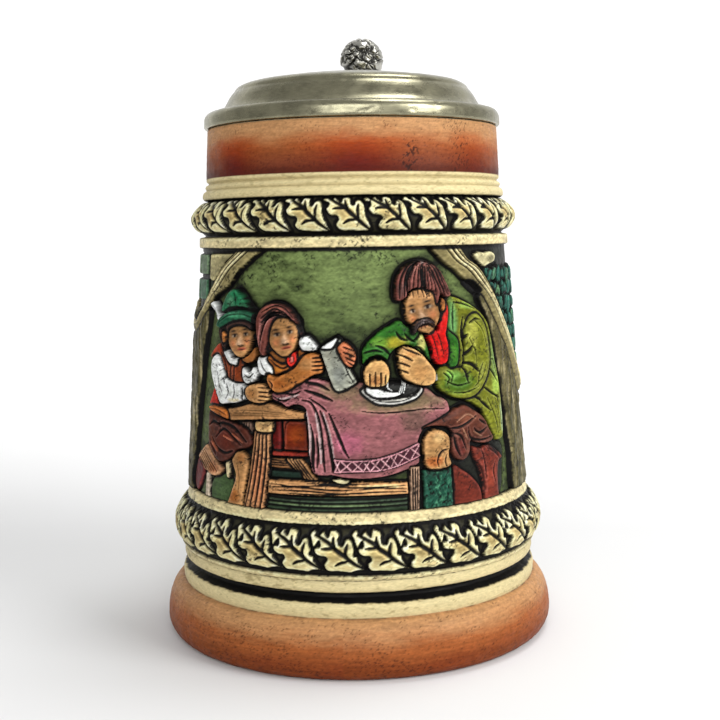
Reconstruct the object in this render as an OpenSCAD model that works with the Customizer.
// Half-litre relief beer stein: a stoneware jug and handle with a hinged pewter lid.
// Millimetres, +Z up. The origin is the centre of the foot's resting ring. The handle and
// the hinge are on the +Y side, and the main relief panel faces -Y.

/* [Jug] */
// Height of the jug's rim above the table
rim_z = 138; // [135:0.5:141]
// Outer radius at the rim
rim_r = 39.7; // [39:0.1:40.5]
// Outer radius at the lower edge of the rim band
band_r = 40.3; // [39.8:0.1:40.8]
// Radius of the mouth
mouth_r = 35.2; // [34:0.1:36]
// Radius of the hollow just above its floor
hollow_r = 41.5; // [40:0.1:42.5]
// Height of the drinking space's floor
floor_z = 7.5; // [6:0.5:10]
// Greatest radius of the foot
foot_r = 54.1; // [52:0.1:55]
// Outer radius of the ring that the jug rests on
foot_rest_r = 50.4; // [49:0.1:51]
// Bulge of the lower oak leaf band beyond its edges
lower_band_bulge = 3; // [2:0.1:4]
// Bulge of the upper oak leaf band beyond its edges
upper_band_bulge = 3.4; // [2:0.1:4]

/* [Handle] */
// Half of the handle's width at its top
handle_half_w = 9; // [8:0.1:10]
// Half of the handle's thickness at its top
handle_half_t = 5; // [4:0.1:5.5]
// Reach of the handle's line from the jug's axis
handle_reach = 81; // [77:0.5:85]

/* [Lid] */
// Outer radius of the lid's rim
lid_r = 40.6; // [40:0.1:41.5]
// Thickness of the pewter
lid_t = 1.6; // [1.2:0.1:2]
// Height of the lid's crown above the jug's rim
crown_h = 15; // [14:0.1:16]

/* [Hinge] */
// Distance of the hinge's axis from the jug's axis
hinge_y = 50.5; // [50:0.1:51]
// Depth of the hinge's axis under the jug's rim
hinge_drop = 4.5; // [4:0.1:4.6]
// Radius of the hinge pin
pin_r = 1.5; // [1.2:0.1:1.8]
// Outer radius of the hinge rings
knuckle_r = 3.6; // [3.4:0.1:3.7]
// Width of one hinge ring
ring_w = 3.2; // [3:0.1:3.4]
// Radial clearance of the lid's rings on the pin
pin_play = 0.05; // [0.03:0.01:0.08]

/* [Thumblift] */
// Radius of the thumblift's ball
ball_r = 6.9; // [6:0.1:7.2]
// Height of the ball's centre above the jug's rim
ball_h = 25.1; // [24:0.1:27]
// Distance of the thumblift from the jug's axis
thumb_y = 46.5; // [46:0.1:47]

/* [Hidden] */
$fn = 96;

STONEWARE = "#c47a52";
PEWTER = "#8f9088";
STEEL = "#b4b4b0";

// Heights and radii of the jug's outside, from the foot up
foot_mid_z = 4.8;
foot_top = [49.4, 14.8];
cream_step = [49.5, 18.8];
groove = [46.6, 20.2];
lower_ring = [48.2, 21];
lower_band = [49.2, 24.6];
lower_band_top = [48.2, 38.2];
strip_h = 2.4;
panel_low = [46.1, 41];
panel_high = [41.7, 106];
upper_band = [41.8, 109.2];
upper_band_top = [41, 118.8];
collar_lip = [40.6, 121.6];
collar_groove = [38.7, 122.7];
rim_band_z = 124;
strip_stand = 0.9;
lip = 0.6;
foot_ring_in = 45;
foot_recess = 2.2;
fillet = 6;
hollow_low_z = 16;
mouth_z = 126;

// Lid heights above the jug's rim
seat_gap = 0.1;
flange_in = 30.2;
crown_fall = 3.8;
flange_drop = 2.4;
flange_play = 0.7;

hinge_z = rim_z - hinge_drop;
ring_gap = 0.25;
ring_pitch = ring_w + ring_gap;
hinge_w = 5 * ring_w + 4 * ring_gap;
plate_z = hinge_z + knuckle_r + 0.55;
cap_t = 0.9;
tang_w = 13;
tang_t = 2.6;
strap_t = 1.4;
lug_t = 5;
lug_z = rim_z - 11.3;

// Points of half an ellipse that swells by bulge between two points
function swell(a, b, bulge, n = 12) = [for (i = [0:n])
    a + (b - a) * i / n + [bulge * sin(180 * i / n), 0]];

// The jug's outside, from the resting ring to the rim
function jug_outside() = concat(
    [for (i = [0:8]) [foot_rest_r + (foot_r - foot_rest_r) * sin(90 * i / 8),
        foot_mid_z * (1 - cos(90 * i / 8))]],
    [for (i = [1:8]) [foot_top[0] + (foot_r - foot_top[0]) * cos(90 * i / 8),
        foot_mid_z + (foot_top[1] - foot_mid_z) * sin(90 * i / 8)]],
    [cream_step, groove, lower_ring],
    swell(lower_band, lower_band_top, lower_band_bulge),
    [[panel_low[0] + strip_stand + 0.7, panel_low[1] - strip_h],
        [panel_low[0] + strip_stand + 0.4, panel_low[1]], panel_low,
        panel_high, panel_high + [strip_stand, 0],
        [panel_high[0] + strip_stand, upper_band[1] - 0.6]],
    swell(upper_band, upper_band_top, upper_band_bulge),
    [collar_lip, collar_groove, [band_r, rim_band_z], [rim_r, rim_z - lip],
        [rim_r - lip, rim_z]]);

// The drinking space, from the rim down to its floor
function jug_inside() = concat(
    [[mouth_r + lip, rim_z], [mouth_r, rim_z - lip], [mouth_r, mouth_z],
        [hollow_r, hollow_low_z]],
    [for (i = [0:6]) [hollow_r - fillet * (1 - cos(90 * i / 6)),
        floor_z + fillet * (1 - sin(90 * i / 6))]],
    [[0, floor_z]]);

module jug_body() {
    underside = [[0, foot_recess], [foot_ring_in - 1, foot_recess], [foot_ring_in, 0]];
    color(STONEWARE) rotate_extrude() polygon(concat(underside, jug_outside(), jug_inside()));
}

// The handle's line in the Y-Z plane: two Bezier curves that meet at its furthest point
handle_line = [[38.6, 119.5], [56, 125.5], [handle_reach, 124], [handle_reach, 98],
    [handle_reach, 80], [66, 60], [43.6, 47]];
handle_rings = 32;
handle_sides = 20;
squareness = 2.5;

function bezier(p, t) = p[0] * pow(1 - t, 3) + 3 * p[1] * t * pow(1 - t, 2)
    + 3 * p[2] * pow(t, 2) * (1 - t) + p[3] * pow(t, 3);
function handle_at(t) = t < 0.5
    ? bezier([for (i = [0:3]) handle_line[i]], 2 * t)
    : bezier([for (i = [3:6]) handle_line[i]], 2 * t - 1);
function handle_way(t) = let (d = handle_at(min(1, t + 0.001)) - handle_at(max(0, t - 0.001)))
    d / norm(d);
// The handle thins towards its lower end and flares where it meets the jug
function handle_size(t) = (1 - 0.2 * t)
    * (1 + 0.22 * pow(max(0, 1 - t / 0.12), 2) + 0.35 * pow(max(0, (t - 0.86) / 0.14), 2));
function rounded(x) = sign(x) * pow(abs(x), 2 / squareness);
// One ring of the handle's surface, standing grow off it
function handle_ring(t, grow) = let (p = handle_at(t), d = handle_way(t), s = handle_size(t))
    [for (j = [0:handle_sides - 1]) let (a = 360 * j / handle_sides,
        w = (handle_half_w * s + grow) * rounded(cos(a)),
        h = (handle_half_t * s + grow) * rounded(sin(a)))
        [w, p[0] - d[1] * h, p[1] + d[0] * h]];

// The two triangles of a four-sided face
function halves(a, b, c, d) = [[a, c, b], [a, d, c]];

// A length of the handle's own shape, from one share of its line to another
module handle_length(from, to, rings, grow = 0) {
    n = handle_sides;
    points = [for (i = [0:rings]) each handle_ring(from + (to - from) * i / rings, grow)];
    sides = [for (i = [0:rings - 1], j = [0:n - 1])
        each halves(i * n + j, (i + 1) * n + j, (i + 1) * n + (j + 1) % n, i * n + (j + 1) % n)];
    ends = [[for (j = [n - 1:-1:0]) j], [for (j = [0:n - 1]) rings * n + j]];
    polyhedron(points = points, faces = concat(sides, ends), convexity = 4);
}

// A plate bedded on the handle between two sides of its rings
module handle_plate(from, to, rings, first, last, thick) {
    m = last - first + 1;
    skin = (rings + 1) * m;
    points = [for (grow = [0, thick], i = [0:rings])
        let (ring = handle_ring(from + (to - from) * i / rings, grow))
        each [for (j = [first:last]) ring[j]]];
    faces = [
        for (i = [0:rings - 1], j = [0:m - 2]) let (a = i * m + j, b = a + m) each concat(
            halves(skin + a, skin + b, skin + b + 1, skin + a + 1),
            halves(a + 1, b + 1, b, a)),
        for (i = [0:rings - 1]) let (a = i * m, b = a + m) each concat(
            halves(a, b, skin + b, skin + a),
            halves(skin + a + m - 1, skin + b + m - 1, b + m - 1, a + m - 1)),
        for (j = [0:m - 2]) let (b = rings * m + j) each concat(
            halves(j, skin + j, skin + j + 1, j + 1),
            halves(b + 1, skin + b + 1, skin + b, b))];
    polyhedron(points = points, faces = faces, convexity = 4);
}

module handle() {
    color(STONEWARE) handle_length(0, 1, handle_rings);
}

// The collar is cast round the handle behind the hinge
collar_from = 6 / handle_rings;
collar_to = 8 / handle_rings;
collar_t = 1.5;

module handle_collar() {
    color(PEWTER) difference() {
        handle_length(collar_from, collar_to, 2, collar_t);
        handle_length(collar_from - 1 / handle_rings, collar_to + 1 / handle_rings, 4);
    }
}

// A cylinder on the hinge's axis between two places along X
module on_axis(r, from, to) {
    translate([from, hinge_y, hinge_z]) rotate([0, 90, 0]) cylinder(r = r, h = to - from);
}

function ring_x(i) = (i - 2) * ring_pitch;

module ring_blank(i, r) {
    on_axis(r, ring_x(i) - ring_w / 2, ring_x(i) + ring_w / 2);
}

module knuckle(i, bore) {
    color(PEWTER) difference() {
        ring_blank(i, knuckle_r);
        on_axis(bore, -hinge_w, hinge_w);
    }
}

// The strap lies along the handle from the hinge to the collar and holds three rings
strap_from = 3 / handle_rings;

module handle_strap() {
    color(PEWTER) difference() {
        union() {
            handle_plate(strap_from, collar_from, 3, 1, handle_sides / 2 - 1, strap_t);
            for (i = [0, 2, 4]) let (low = lug_z + (i == 2 ? 0.6 : 0))
                translate([ring_x(i) - ring_w / 2, hinge_y - lug_t / 2, low])
                    cube([ring_w, lug_t, hinge_z - knuckle_r / 2 - low]);
        }
        for (i = [0, 2, 4]) ring_blank(i, knuckle_r);
    }
}

module hinge_pin() {
    color(STEEL) on_axis(pin_r, -hinge_w / 2, hinge_w / 2);
}

// A small pewter disc closes each end of the hinge
module pin_cap(side) {
    color(PEWTER) translate([side * hinge_w / 2, hinge_y, hinge_z]) rotate([0, side * 90, 0]) {
        cylinder(r1 = knuckle_r - 0.2, r2 = knuckle_r - 0.8, h = cap_t / 2);
        translate([0, 0, cap_t / 2])
            cylinder(r1 = knuckle_r - 0.8, r2 = knuckle_r - 2.2, h = cap_t / 2);
    }
}

// The lid's outside above the jug's rim, from its lower edge to the crown
side_low = [34.3, 6.6];
side_top = [32.2, 9.6];
crown_edge = [27.6, 12.1];
function lid_outside() = concat(
    [[lid_r - 0.5, 0], [lid_r - 0.1, 0.3], [lid_r, 0.8], [lid_r - 0.2, 1.7], [lid_r - 0.8, 2.8],
        [lid_r - 1.9, 3.8], [lid_r - 3.4, 4.6], [lid_r - 5.2, 5.7], side_low],
    [for (i = [0:8]) crown_edge + [(side_top[0] - crown_edge[0]) * cos(90 * i / 8),
        (side_top[1] - crown_edge[1]) * (1 - sin(90 * i / 8))]],
    [for (i = [1:8]) let (u = 1 - i / 8)
        [crown_edge[0] * u, crown_edge[1] + (crown_h - crown_edge[1]) * (1 - u * u)]]);

module lid_dome() {
    inside = concat([for (i = [0:6]) let (u = i / 6)
            [flange_in * u, crown_h - lid_t - crown_fall * u * u]],
        [[flange_in + 1, 6], [flange_in + 1, -flange_drop], [mouth_r - flange_play, -flange_drop],
            [mouth_r - flange_play, 0]]);
    color(PEWTER) translate([0, 0, rim_z + seat_gap])
        rotate_extrude() polygon(concat(inside, lid_outside()));
}

// The tang is soldered on the back of the lid's rim, carries the thumblift, and holds two rings
module lid_tang() {
    color(PEWTER) difference() {
        union() {
            hull() {
                translate([-tang_w / 2, hinge_y - 5, plate_z]) cube([tang_w, 6.4, tang_t]);
                translate([-tang_w / 2 + 2, 33, plate_z + 3.6]) cube([tang_w - 4, 2, 1.8]);
            }
            for (i = [1, 3]) translate([ring_x(i) - ring_w / 2, hinge_y - 2.4, hinge_z])
                cube([ring_w, 3.8, plate_z - hinge_z + 1]);
        }
        for (i = [1, 3]) ring_blank(i, knuckle_r);
        translate([0, 0, rim_z + seat_gap])
            rotate_extrude() polygon(concat([[0, 0]], lid_outside()));
    }
}

stem_low = plate_z + tang_t;
stem_top = rim_z + ball_h - ball_r + 1.2;

module thumblift_stem() {
    h = stem_top - stem_low;
    outline = [[4, 0], [4, 0.7], [2.9, 1.6], [2.2, h * 0.3], [2, h * 0.5], [2.4, h * 0.7],
        [3.6, h - 2.4], [4.1, h - 1.6], [3.6, h - 0.8], [3.2, h]];
    color(PEWTER) translate([0, thumb_y, stem_low]) rotate_extrude()
        polygon(concat([[0, 0]], outline, [[0, h]]));
}

module thumblift_ball() {
    color(PEWTER) difference() {
        translate([0, thumb_y, rim_z + ball_h]) sphere(r = ball_r);
        translate([-ball_r, thumb_y - ball_r, stem_top - ball_r]) cube([2 * ball_r, 2 * ball_r, ball_r]);
    }
}

jug_body();
handle();
handle_collar();
handle_strap();
knuckle(0, pin_r);  // strap_knuckle_left
knuckle(2, pin_r);  // strap_knuckle_middle
knuckle(4, pin_r);  // strap_knuckle_right
hinge_pin();
pin_cap(-1);  // pin_cap_left
pin_cap(1);  // pin_cap_right
lid_dome();
lid_tang();
knuckle(1, pin_r + pin_play);  // lid_knuckle_left
knuckle(3, pin_r + pin_play);  // lid_knuckle_right
thumblift_stem();
thumblift_ball();
